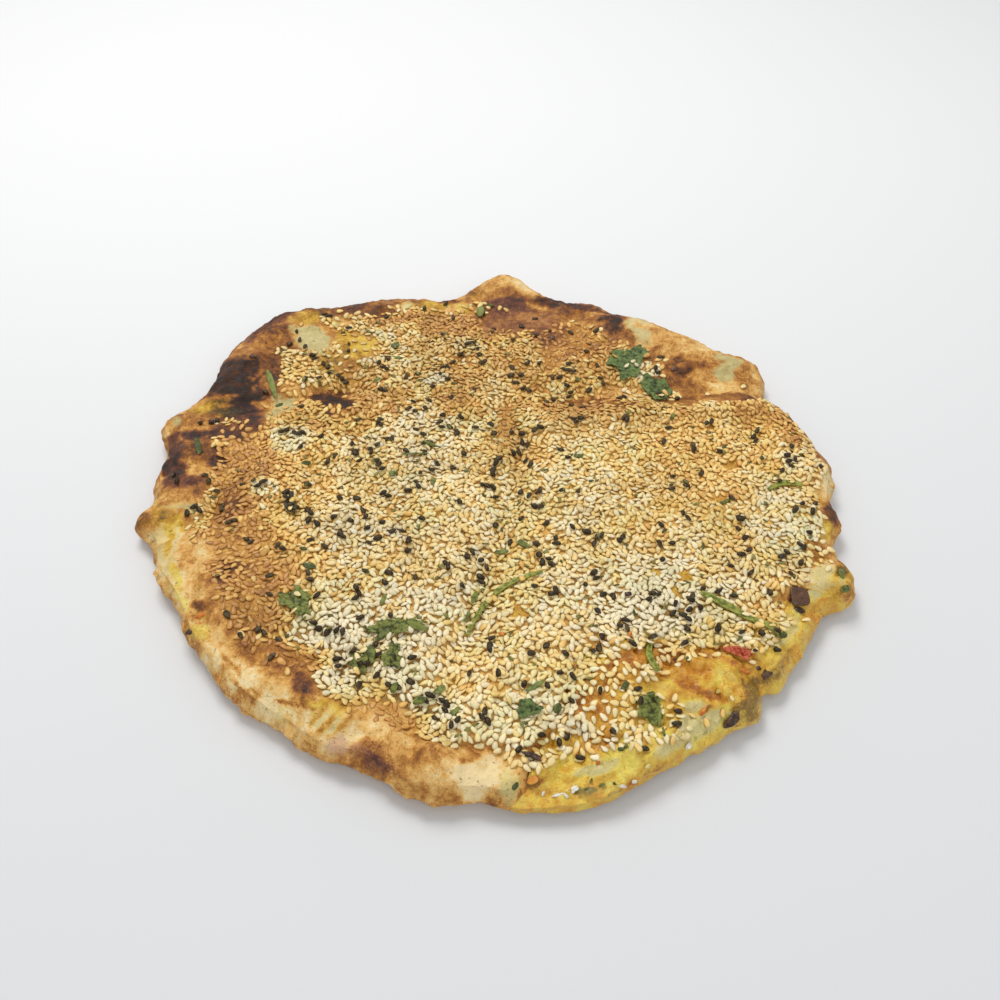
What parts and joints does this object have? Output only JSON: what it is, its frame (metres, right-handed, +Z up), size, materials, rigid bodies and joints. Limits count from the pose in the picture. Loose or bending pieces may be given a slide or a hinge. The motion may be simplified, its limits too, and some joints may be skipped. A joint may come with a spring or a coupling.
{
  "type": "aloo naan",
  "caption": "Round stuffed flatbread with a puffed, charred rim, a top of sesame and nigella seeds, coriander, and spiced potato bared where the dough is torn.",
  "frame": {"origin": "on the resting plane, under the middle of the bread's outline", "axes": "+Z up through the thickness, -Y towards the side that faces the viewer, +X to the right, with the torn potato side towards +X and -Y"},
  "size_m": [0.2631, 0.2666, 0.0188],
  "materials": {
    "dough": "baked dough, browned and charred in patches, with sesame and nigella seeds",
    "potato": "moist turmeric-yellow potato with onion, lightly browned",
    "herb": "wilted green coriander",
    "charred_onion": "dry, charred",
    "red_pepper": "soft, moist"
  },
  "bodies": {
    "root": {"crust": "dough", "filling": "potato", "coriander_leaf_1": "herb", "coriander_leaf_2": "herb", "coriander_leaf_3": "herb", "coriander_leaf_4": "herb", "coriander_leaf_5": "herb", "coriander_leaf_6": "herb", "coriander_leaf_7": "herb", "coriander_leaf_8": "herb", "herb_strip_1": "herb", "herb_strip_2": "herb", "herb_strip_3": "herb", "herb_strip_4": "herb", "onion_flake": "charred_onion", "pepper_flake": "red_pepper"}
  },
  "joints": []
}
